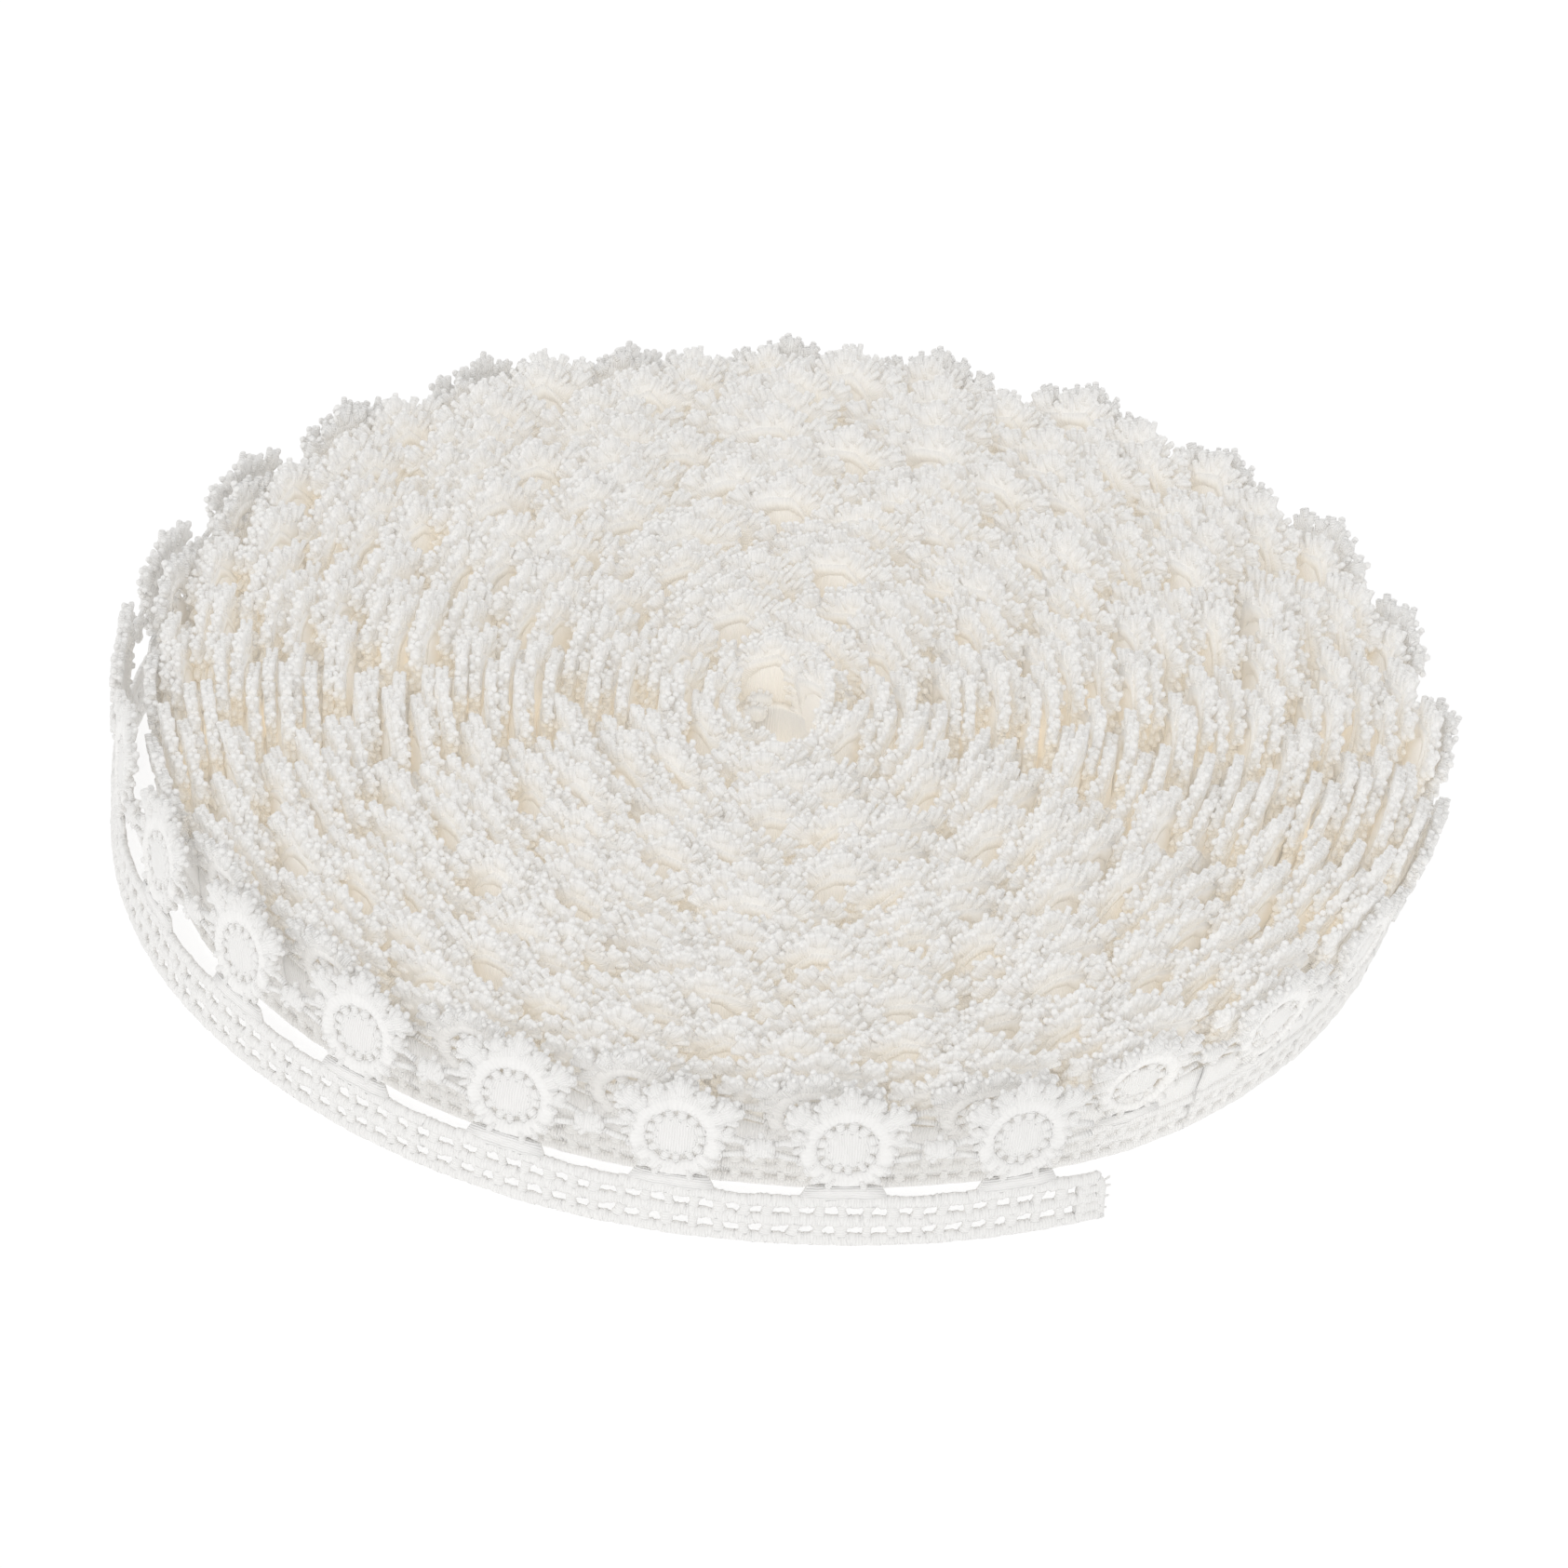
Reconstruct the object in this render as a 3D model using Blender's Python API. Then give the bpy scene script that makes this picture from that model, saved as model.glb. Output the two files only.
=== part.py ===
"""A roll of scalloped guipure lace trim, coiled flat and standing on its straight heading edge.

Two solids: the wound roll, with its main twists as spiral ridges on the top, and the outermost turn,
which has come loose and ends in the cut end of the trim. The fine turns and the stitched pattern of
the lace are surface work and are not modelled here.

Metres, +Z up. The origin is the centre of the roll's round outline, on the plane that it stands on.
Angles are degrees, counter-clockwise from +X as seen from above.
"""
import math
from collections import namedtuple

import bpy

# ---- driving sizes -------------------------------------------------------------------------------
TRIM_WIDTH = 0.018            # heading edge to crown tip
LAYER = 0.0015                # one turn's share of the roll's radius
GAP = 0.0003                  # clearance between the two solids
REPEAT = 0.01655              # length of one scallop of the crown edge

ROLL_CROWN_RADIUS = 0.0668    # tightly wound part, at its crown edge
ROLL_RIM_HEIGHT = 0.0172      # crown edge of the leaning outer turns
ROLL_COLUMNS = 48             # sides round the roll

TWIST = 0.0064                # width of one main twist on the top, about four turns of trim
TWIST_DEPTH = 0.0011
TWIST_STEPS = 4               # mesh rings to a twist
EYE_RADIUS = 0.0024           # the small hollow that the winding starts from
EYE_DEPTH = 0.0034

LOOSE_START = 104.0           # where the outermost turn leaves the roll
LOOSE_END = 299.0             # the cut end
LOOSE_THICKNESS = 0.0013
LOOSE_STEP = 2.4              # degrees between sections
SCALLOP_DEPTH = 0.0038        # crown tip down to the dip between two crowns
CUT_CORNER = 0.0030           # rounding of the cut end's upper corner

WallRow = namedtuple("WallRow", "height flare")            # shares of the rim height and of the lean
ROLL_WALL = [
    WallRow(height=1.00, flare=0.94),
    WallRow(height=0.90, flare=1.00),
    WallRow(height=0.62, flare=0.68),
    WallRow(height=0.30, flare=0.28),
    WallRow(height=0.00, flare=0.00),
]

RollFoot = namedtuple("RollFoot", "angle radius")          # the heading edge of the wound turns
ROLL_FEET = [
    RollFoot(angle=0.0, radius=0.0615),
    RollFoot(angle=60.0, radius=0.0612),
    RollFoot(angle=120.0, radius=0.0606),
    RollFoot(angle=150.0, radius=0.0630),
    RollFoot(angle=180.0, radius=0.0642),
    RollFoot(angle=206.0, radius=0.0640),
    RollFoot(angle=222.0, radius=0.0626),
    RollFoot(angle=240.0, radius=0.0618),
    RollFoot(angle=254.0, radius=0.0609),
    RollFoot(angle=268.0, radius=0.0602),
    RollFoot(angle=284.0, radius=0.0603),
    RollFoot(angle=296.0, radius=0.0610),
    RollFoot(angle=308.0, radius=0.0618),
    RollFoot(angle=320.0, radius=0.0617),
    RollFoot(angle=335.0, radius=0.0615),
    RollFoot(angle=360.0, radius=0.0615),
]

LooseRow = namedtuple("LooseRow", "angle foot gap")        # heading radius, and gap at the crown edge
LOOSE_LINE = [
    LooseRow(angle=104.0, foot=0.0596, gap=0.0005),
    LooseRow(angle=140.0, foot=0.0650, gap=0.0007),
    LooseRow(angle=180.0, foot=0.0667, gap=0.0014),
    LooseRow(angle=215.0, foot=0.0680, gap=0.0009),
    LooseRow(angle=250.0, foot=0.0681, gap=0.0005),
    LooseRow(angle=275.0, foot=0.0676, gap=0.0007),
    LooseRow(angle=299.0, foot=0.0676, gap=0.0012),
]
LOOSE_HEIGHTS = [0.0, 0.28, 0.56, 0.80, 1.0]               # shares of the section's own height


def new_material(name, colour, roughness):
    """A plain thread finish."""
    material = bpy.data.materials.new(name)
    material.use_nodes = True
    shader = material.node_tree.nodes["Principled BSDF"]
    shader.inputs["Base Color"].default_value = (*colour, 1.0)
    shader.inputs["Roughness"].default_value = roughness
    shader.inputs["Metallic"].default_value = 0.0
    return material


def new_object(name, points, faces, material):
    """One closed mesh object at the origin, smooth with its edges kept."""
    mesh = bpy.data.meshes.new(name)
    mesh.from_pydata(points, [], faces)
    mesh.validate()
    mesh.shade_smooth()
    mesh.set_sharp_from_angle(angle=math.radians(50.0))
    mesh.materials.append(material)
    piece = bpy.data.objects.new(name, mesh)
    bpy.context.collection.objects.link(piece)
    return piece


def on_circle(radius, angle, height):
    """The point at a radius and an angle in degrees."""
    turn = math.radians(angle)
    return (radius * math.cos(turn), radius * math.sin(turn), height)


def smooth_read(rows, angle, column):
    """A column of a table of rows with an angle, eased between its rows."""
    if angle <= rows[0].angle:
        return getattr(rows[0], column)
    for low, high in zip(rows, rows[1:]):
        if angle <= high.angle:
            share = (angle - low.angle) / (high.angle - low.angle)
            share = share * share * (3.0 - 2.0 * share)
            return getattr(low, column) * (1.0 - share) + getattr(high, column) * share
    return getattr(rows[-1], column)


def outer_step(angle):
    """How far the wall has grown by the winding: nothing where the loose turn leaves, a layer a turn on."""
    return LAYER * (angle - LOOSE_START) / 360.0 - LAYER


def wall_radius(angle, flare):
    """The roll's outer wall at a share of its outward lean: 0 at the foot, 1 where it is widest."""
    foot = smooth_read(ROLL_FEET, angle % 360.0, "radius")
    return foot + (ROLL_CROWN_RADIUS - foot) * flare + outer_step(angle)


def flare_at(height_share):
    """The share of the lean reached at a share of the rim height, never less than lower down."""
    for high, low in zip(ROLL_WALL[1:], ROLL_WALL[2:]):
        if low.height <= height_share <= high.height:
            share = (height_share - low.height) / (high.height - low.height)
            return low.flare + (high.flare - low.flare) * share
    return 1.0


def top_height(radius, angle):
    """The top of the winding: a low crown, the spiral of the main twists, and the eye."""
    share = radius / ROLL_CROWN_RADIUS
    crown = TRIM_WIDTH - (TRIM_WIDTH - ROLL_RIM_HEIGHT) * share ** 3
    twist = radius / TWIST - angle / 360.0
    groove = TWIST_DEPTH * (0.5 - 0.5 * math.cos(2.0 * math.pi * twist))
    uneven = 0.0003 * math.sin(math.radians(3.0 * angle) + 9.0 * share)
    fade = min(1.0, radius / TWIST) * min(1.0, (1.0 - share) * 8.0)
    eye = EYE_DEPTH * max(0.0, 1.0 - radius / EYE_RADIUS)
    return crown - (groove + uneven) * fade - eye


def build_wound_roll():
    """A polar grid: shared rings inside, and outside them the spiral wall with its one-layer step."""
    columns = [LOOSE_START + 360.0 * k / ROLL_COLUMNS for k in range(ROLL_COLUMNS + 1)]
    ring_gap = TWIST / TWIST_STEPS
    ring_count = int((wall_radius(LOOSE_START, ROLL_WALL[0].flare) - ring_gap) / ring_gap)
    rings = [ring_gap * (k + 1) for k in range(ring_count)]
    points = [(0.0, 0.0, top_height(0.0, 0.0))]
    faces = []

    ring_rows = []
    for radius in rings:
        ring_rows.append([])
        for angle in columns[:-1]:
            ring_rows[-1].append(len(points))
            points.append(on_circle(radius, angle, top_height(radius, angle)))
        ring_rows[-1].append(ring_rows[-1][0])

    wall_rows = []
    for row in ROLL_WALL:
        wall_rows.append([])
        for angle in columns:
            wall_rows[-1].append(len(points))
            radius = wall_radius(angle, row.flare)
            points.append(on_circle(radius, angle, ROLL_RIM_HEIGHT * row.height))
    inner_foot = []
    for angle in columns[:-1]:
        inner_foot.append(len(points))
        points.append(on_circle(ROLL_FEET[-1].radius - 4.0 * LAYER, angle, 0.0))
    inner_foot.append(inner_foot[0])

    for k in range(ROLL_COLUMNS):
        faces.append((0, ring_rows[0][k], ring_rows[0][k + 1]))
    for near, far in zip(ring_rows + wall_rows, ring_rows[1:] + wall_rows + [inner_foot]):
        for k in range(ROLL_COLUMNS):
            faces.append((near[k], far[k], far[k + 1], near[k + 1]))
    faces.append(tuple(reversed(inner_foot[:-1])))

    last_ring = ring_rows[-1][0]
    starts = [row[0] for row in wall_rows]
    ends = [row[-1] for row in wall_rows]
    faces.append((last_ring, ends[0], starts[0]))
    for k in range(len(ROLL_WALL) - 1):
        faces.append((ends[k], ends[k + 1], starts[k + 1], starts[k]))
    faces.append((ends[-1], inner_foot[0], starts[-1]))

    material = new_material("wound_lace", (0.84, 0.83, 0.80), 0.75)
    return new_object("wound_roll", points, faces, material)


def loose_height(angle):
    """The scalloped crown edge of the loose turn, with the cut end's corner rounded off."""
    repeat_angle = math.degrees(REPEAT / ROLL_CROWN_RADIUS)
    phase = (LOOSE_END - angle) / repeat_angle
    dip = 0.5 + 0.5 * math.cos(2.0 * math.pi * phase)
    height = TRIM_WIDTH - SCALLOP_DEPTH * dip ** 2
    to_end = math.radians(LOOSE_END - angle) * ROLL_CROWN_RADIUS
    corner = max(0.0, 1.0 - to_end / CUT_CORNER)
    return height - CUT_CORNER * (1.0 - math.sqrt(1.0 - corner * corner)) * 0.6


def loose_section(angle):
    """One closed section: up the inner side, then down the outer side."""
    foot_gap = smooth_read(LOOSE_LINE, angle, "foot") - wall_radius(angle, 0.0)
    crown_gap = smooth_read(LOOSE_LINE, angle, "gap")
    height = loose_height(angle)
    inner = []
    outer = []
    for share in LOOSE_HEIGHTS:
        level = height * share
        flare = flare_at(level / ROLL_RIM_HEIGHT)
        gap = foot_gap + (crown_gap - foot_gap) * level / TRIM_WIDTH
        radius = wall_radius(angle, flare) + gap
        inner.append(on_circle(radius, angle, level))
        outer.append(on_circle(radius + LOOSE_THICKNESS, angle, level))
    return inner + outer[::-1]


def build_loose_turn():
    """The outermost turn: sections joined one to the next and closed at both ends."""
    first = LOOSE_START + math.degrees(2.0 * GAP / LOOSE_LINE[0].foot)
    count = int((LOOSE_END - first) / LOOSE_STEP)
    angles = [first + (LOOSE_END - first) * k / count for k in range(count + 1)]
    points = []
    faces = []
    sides = 2 * len(LOOSE_HEIGHTS)
    for angle in angles:
        points.extend(loose_section(angle))
    for k in range(count):
        here = k * sides
        there = here + sides
        for j in range(sides):
            after = (j + 1) % sides
            faces.append((here + j, here + after, there + after, there + j))
    faces.append(tuple(reversed(range(sides))))
    faces.append(tuple(range(count * sides, (count + 1) * sides)))
    material = new_material("loose_lace", (0.86, 0.85, 0.82), 0.75)
    return new_object("loose_turn", points, faces, material)


def main():
    for old in list(bpy.data.objects):
        bpy.data.objects.remove(old, do_unlink=True)
    build_wound_roll()
    build_loose_turn()


main()
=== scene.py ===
"""A flat-coiled roll of guipure lace trim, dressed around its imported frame.

One repeat of the trim is stitched flat, as cords, balls, rings and picots of thread. Geometry Nodes set
it out along the winding and bend it there, so every turn of the roll is the same lace.
"""
import math
from collections import namedtuple

import bpy
import numpy as np
from mathutils import Matrix, Vector


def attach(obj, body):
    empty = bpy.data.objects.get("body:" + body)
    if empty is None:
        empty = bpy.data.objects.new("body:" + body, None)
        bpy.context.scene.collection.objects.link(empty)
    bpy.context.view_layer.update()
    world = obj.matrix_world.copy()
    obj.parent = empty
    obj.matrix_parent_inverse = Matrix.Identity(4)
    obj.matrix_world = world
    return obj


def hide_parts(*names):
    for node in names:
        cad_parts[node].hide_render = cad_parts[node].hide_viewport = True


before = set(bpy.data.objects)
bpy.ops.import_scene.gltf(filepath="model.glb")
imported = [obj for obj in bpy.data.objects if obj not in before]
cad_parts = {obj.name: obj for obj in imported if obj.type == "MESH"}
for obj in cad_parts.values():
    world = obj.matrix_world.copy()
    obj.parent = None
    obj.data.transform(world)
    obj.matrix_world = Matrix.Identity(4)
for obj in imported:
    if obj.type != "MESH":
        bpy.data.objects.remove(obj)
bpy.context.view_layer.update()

bl_info = {
    "name": "Roll of Lace Trim",
    "version": (1, 0, 0),
    "blender": (4, 5, 0),
    "location": "3D View > Sidebar > Lace",
    "description": "Stitches a guipure lace trim, coils it flat and lights it",
    "category": "Object",
}

MM = 0.001
ROLL = "wound_roll"
LOOSE = "loose_turn"
OUTER_RADIUS = 62.0 * MM  # of the outermost wound turn
CUT_SHARE = 0.56  # of a repeat, from the last medallion's centre to the cut end
BANDS = 4  # pieces that the inner wound turns are made in
FLOOR_GAP = 0.02 * MM  # how far the lace stays above the floor
CORD_PITCH = 0.3 * MM  # from one thread to the next round a cord
SATIN_PITCH = 0.26 * MM  # the same on a ball or a picot

# ---- how finely each part of the winding is stitched
Detail = namedtuple("Detail", "cord_rows cord_sides ball_rows ball_sides ring_rows ring_sides"
                              " spokes petal bead_sides bead_pitch openwork splay")
STUB = ((-1.0, 0.0), (-0.60, 0.88), (0.84, 0.90), (1.0, 0.0))
LOOP = ((-1.0, 0.0), (-0.7, 0.7), (0.0, 0.88), (0.55, 1.0), (0.86, 0.74), (1.0, 0.0))
FINE = Detail(cord_rows=60, cord_sides=8, ball_rows=7, ball_sides=10, ring_rows=72, ring_sides=8,
              spokes=13, petal=LOOP, bead_sides=6, bead_pitch=0.70, openwork=True, splay=0.45)
NEAR = Detail(cord_rows=28, cord_sides=6, ball_rows=5, ball_sides=7, ring_rows=36, ring_sides=6,
              spokes=9, petal=STUB, bead_sides=6, bead_pitch=0.76, openwork=True, splay=0.5)
DEEP = Detail(cord_rows=2, cord_sides=4, ball_rows=4, ball_sides=5, ring_rows=16, ring_sides=4,
              spokes=0, petal=STUB, bead_sides=5, bead_pitch=0.80, openwork=False, splay=0.25)

# ---- the heading's rungs: places along a rung, and its half-width there in millimetres
RUNG_STEPS = (0.15, 0.32, 0.5, 0.68, 0.85)
RUNG_WIDTHS = np.array([0.82, 0.58, 0.48, 0.58, 0.82])

# ---- the motif, in millimetres from the medallion's centre
Ball = namedtuple("Ball", "angle reach along across")
CROWN_BALLS = [
    Ball(angle=90.0, reach=5.35, along=1.15, across=1.05),
    Ball(angle=38.0, reach=6.05, along=1.20, across=1.10),
    Ball(angle=142.0, reach=6.05, along=1.20, across=1.10),
    Ball(angle=64.0, reach=5.25, along=0.85, across=0.80),
    Ball(angle=116.0, reach=5.25, along=0.85, across=0.80),
    Ball(angle=14.0, reach=5.00, along=0.75, across=0.70),
    Ball(angle=166.0, reach=5.00, along=0.75, across=0.70),
]


def lace():
    """The sizes and colours that the panel shows."""
    return bpy.context.scene.lace_trim


# ---- stitched shapes
class Stitching:
    """Gathers the thread shapes of one repeat. Lengths are in metres; x runs along the trim, y out of
    its face and z up from its heading. The stitch coordinate counts threads along a shape."""

    def __init__(self):
        self.points = []
        self.faces = []
        self.stitches = []

    def skin(self, rings, loop, threads):
        """Quads between rings of points, a fan where a ring is a single point; threads count the rings."""
        start = []
        for ring in rings:
            start.append(len(self.points))
            self.points.extend(ring)
        pairs = list(range(len(rings) - 1))
        if loop:
            pairs.append(len(rings) - 1)
        for i in pairs:
            j = (i + 1) % len(rings)
            near = len(rings[i])
            far = len(rings[j])
            sides = max(near, far)
            low = threads[i]
            high = threads[i + 1]
            for k in range(sides):
                n = (k + 1) % sides
                a = start[i] + (k if near > 1 else 0)
                b = start[i] + (n if near > 1 else 0)
                c = start[j] + (n if far > 1 else 0)
                d = start[j] + (k if far > 1 else 0)
                left = k / sides
                right = (k + 1) / sides
                face = [a, b, c, d]
                spots = [(low, left), (low, right), (high, right), (high, left)]
                if near == 1:
                    face.pop(1)
                    spots.pop(1)
                if far == 1:
                    face.pop(-1)
                    spots.pop(-1)
                self.faces.append(face)
                self.stitches.extend(spots)

    def tube(self, path, half_width, half_depth, sides, loop=False, pitch=CORD_PITCH, across=None):
        """A cord along a path in the trim's own plane, wider than deep, its ends rounded off."""
        path = np.array(path, float)
        ahead = np.roll(path, -1, axis=0) - np.roll(path, 1, axis=0)
        if not loop:
            ahead[0] = path[1] - path[0]
            ahead[-1] = path[-1] - path[-2]
        ahead /= np.linalg.norm(ahead, axis=1)[:, None]
        side = np.stack([-ahead[:, 2], ahead[:, 1] * 0.0, ahead[:, 0]], axis=1)
        if across is not None:
            side = np.array(across, float)
        widths = np.broadcast_to(np.array(half_width, float), (len(path),))
        depths = np.broadcast_to(np.array(half_depth, float), (len(path),))
        turn = np.linspace(0.0, 2.0 * np.pi, sides, endpoint=False) + np.pi / sides
        rings = []
        for spot, sideways, width, depth in zip(path, side, widths, depths):
            ring = spot + np.outer(np.cos(turn) * width, sideways)
            ring[:, 1] += np.sin(turn) * depth
            rings.append(ring.tolist())
        steps = np.linalg.norm(np.diff(np.vstack([path, path[:1]]), axis=0), axis=1)
        if not loop:
            rings = [[path[0].tolist()]] + rings + [[path[-1].tolist()]]
            steps = np.concatenate([[widths[0]], steps[:-1], [widths[-1]]])
        count = np.concatenate([[0.0], np.cumsum(steps)]) / pitch
        self.skin(rings, loop, count.tolist())

    def spun(self, centre, along, across, depth, angle, shape, sides):
        """A form stitched round an axis: shape is a row of shares along the axis and of girths there."""
        turn = math.radians(angle)
        axis = np.array([math.cos(turn), 0.0, math.sin(turn)])
        side = np.array([-math.sin(turn), 0.0, math.cos(turn)])
        round_it = np.linspace(0.0, 2.0 * np.pi, sides, endpoint=False)
        rings = []
        counts = []
        for share, girth in shape:
            middle = np.array(centre) + axis * share * along
            counts.append(along * (1.0 + share) / SATIN_PITCH)
            if girth == 0.0:
                rings.append([middle.tolist()])
                continue
            ring = middle + np.outer(np.cos(round_it) * across * girth, side)
            ring[:, 1] += np.sin(round_it) * depth * girth
            rings.append(ring.tolist())
        self.skin(rings, False, counts)

    def ball(self, centre, along, across, depth, angle, rows, sides):
        """A satin-stitched ball: its threads lie across its axis, which is turned by an angle."""
        shares = [-math.cos(math.pi * k / rows) for k in range(rows + 1)]
        shape = [(share, math.sqrt(max(0.0, 1.0 - share * share)) ** 0.8) for share in shares]
        self.spun(centre, along, across, depth, angle, shape, sides)

    def petal(self, middle, half_length, half_width, angle, shape, sides):
        """A picot: a loop of thread closed into a short rounded stub, pointing at an angle."""
        self.spun(middle, half_length, half_width, half_width, angle, shape, sides)

    def mesh(self, name):
        """The gathered shapes as one mesh with its stitch coordinate."""
        made = bpy.data.meshes.new(name)
        made.from_pydata(self.points, [], self.faces)
        layer = made.uv_layers.new(name="stitch")
        layer.data.foreach_set("uv", np.array(self.stitches, np.float32).ravel())
        # depth under the crown edge, which sets where the thread gets painted shade and painted glow
        sink = made.attributes.new("sink", "FLOAT", "POINT")
        sink.data.foreach_set("value", buried_share(np.array(self.points)).astype(np.float32))
        made.shade_smooth()
        return made


def polar(centre, angle, reach):
    """A point at an angle and a distance in millimetres from a centre in the trim's plane."""
    turn = math.radians(angle)
    return (centre[0] + reach * MM * math.cos(turn), 0.0, centre[2] + reach * MM * math.sin(turn))


def lumpy(rng, count, size, share):
    """Sizes along a cord, as uneven as hand-guided stitching."""
    return size * MM * (1.0 + share * rng.uniform(-1.0, 1.0, count))


def stitch_heading(work, detail, rng):
    """The ladder heading: three cords and their rungs, or a plain band where it is buried."""
    sizes = lace()
    half = sizes.repeat / 2.0 + 0.2 * MM
    steps = np.linspace(-half, half, detail.cord_rows + 1)
    tall = sizes.heading / MM
    levels = [tall * 0.115 * MM, tall * 0.5 * MM, tall * 0.885 * MM]
    if not detail.openwork:
        low = [(x, 0.0, levels[0]) for x in steps]
        band = [(x, 0.0, sizes.width * 0.36) for x in steps]
        work.tube(low, 0.62 * MM, 0.42 * MM, detail.cord_sides)
        work.tube(band, sizes.width * 0.31, 0.95 * MM, detail.cord_sides)
        return
    for level in levels:
        wave = rng.uniform(-0.09, 0.09, len(steps)) * MM
        line = [(x, 0.0, level + w) for x, w in zip(steps, wave)]
        widths = lumpy(rng, len(steps), 0.70, 0.16)
        work.tube(line, widths, lumpy(rng, len(steps), 0.43, 0.12), detail.cord_sides)
    rungs = 7
    for k in range(rungs):
        x = sizes.repeat * ((k + 0.5) / rungs - 0.5) + rng.uniform(-0.18, 0.18) * MM
        for low, high in zip(levels, levels[1:]):
            slant = rng.uniform(-0.20, 0.20) * MM
            line = [(x + slant * (2.0 * t - 1.0), 0.0, low + (high - low) * t) for t in RUNG_STEPS]
            width = RUNG_WIDTHS * lumpy(rng, 5, rng.uniform(0.85, 1.25), 0.22)
            work.tube(line, width, 0.33 * MM, detail.cord_sides)
    if detail is NEAR:
        backing = [(x, -0.22 * MM, levels[1]) for x in steps[::4]]
        work.tube(backing, sizes.heading * 0.42, 0.26 * MM, detail.cord_sides)
        behind = [(x, -0.20 * MM, sizes.heading * 1.22) for x in steps[::2]]
        work.tube(behind, lumpy(rng, len(behind), 2.6, 0.10), lumpy(rng, len(behind), 0.32, 0.3), 8)


def crown_reach(angle):
    """How far the crown's lobed outline lies from the medallion's centre, in millimetres."""
    reach = lace().medallion / MM + 0.75 * max(0.0, math.sin(math.radians(angle))) ** 0.25
    for ball in CROWN_BALLS:
        apart = math.radians(angle - ball.angle)
        aside = ball.reach * math.sin(apart)
        if math.cos(apart) > 0.0 and abs(aside) < ball.along:
            bulge = math.sqrt(ball.across ** 2 * (1.0 - (aside / ball.along) ** 2))
            reach = max(reach, ball.reach * math.cos(apart) + bulge)
    return reach


def medallion_level():
    """The height of a medallion's centre."""
    return lace().width - (CROWN_BALLS[0].reach + CROWN_BALLS[0].across + 0.5) * MM


def buried_share(points):
    """How deep each point of a flat repeat lies under its crown edge: 0 at the tips, 1 out of sight. This
    depth places the painted shade and painted glow.
    """
    half = lace().repeat / 2.0
    across = np.linspace(-half, half, 81)
    tops = np.full(81, medallion_level() + 1.7 * MM)
    for angle in np.arange(-20.0, 201.0, 1.0):
        tip = polar((0.0, 0.0, medallion_level()), angle, crown_reach(angle) + 0.3)
        near = np.abs((across - tip[0] + half) % (2.0 * half) - half) < 0.4 * MM
        tops[near] = np.maximum(tops[near], tip[2])
    depth = np.interp((points[:, 0] + half) % (2.0 * half) - half, across, tops) - points[:, 2]
    return np.clip((depth + 0.5 * MM) / (3.6 * MM), 0.0, 1.0)


def stitch_picot(work, detail, spot, angle, face, rng):
    """One picot standing off an edge, towards the front or the back of the lace."""
    lean = angle + rng.uniform(-14.0, 14.0)
    reach = rng.uniform(0.75, 1.10) if not detail.openwork else rng.uniform(0.70, 0.92)
    thick = rng.uniform(0.33, 0.41)
    proud = rng.uniform(0.14, 0.40) if not detail.openwork else rng.uniform(0.20, 0.55)
    tip = polar(spot, lean, proud - reach)
    tip = (tip[0], face * rng.uniform(0.24, 0.36) * MM, tip[2])
    work.petal(tip, reach * MM, thick * MM, lean, detail.petal, detail.bead_sides)


def stitch_edge(work, detail, centre, first, last, rng):
    """Picots at an even pitch along the crown's outline between two angles, to either face in turn."""
    angles = np.arange(first, last, 1.0)
    spots = np.array([polar(centre, a, crown_reach(a)) for a in angles])
    ahead = np.gradient(spots, axis=0)
    facing = np.degrees(np.arctan2(-ahead[:, 0], ahead[:, 2]))
    run = np.concatenate([[0.0], np.cumsum(np.linalg.norm(np.diff(spots, axis=0), axis=1))]) / MM
    count = int(run[-1] / detail.bead_pitch)
    for k in range(count):
        reach = (k + 0.5 + rng.uniform(-0.25, 0.25)) * run[-1] / count
        i = int(np.argmin(np.abs(run - reach)))
        radial = angles[i]
        turn = (facing[i] - radial + 180.0) % 360.0 - 180.0
        face = 1.0 if k % 2 else -1.0
        stitch_picot(work, detail, tuple(spots[i]), radial + turn * detail.splay, face, rng)


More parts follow.
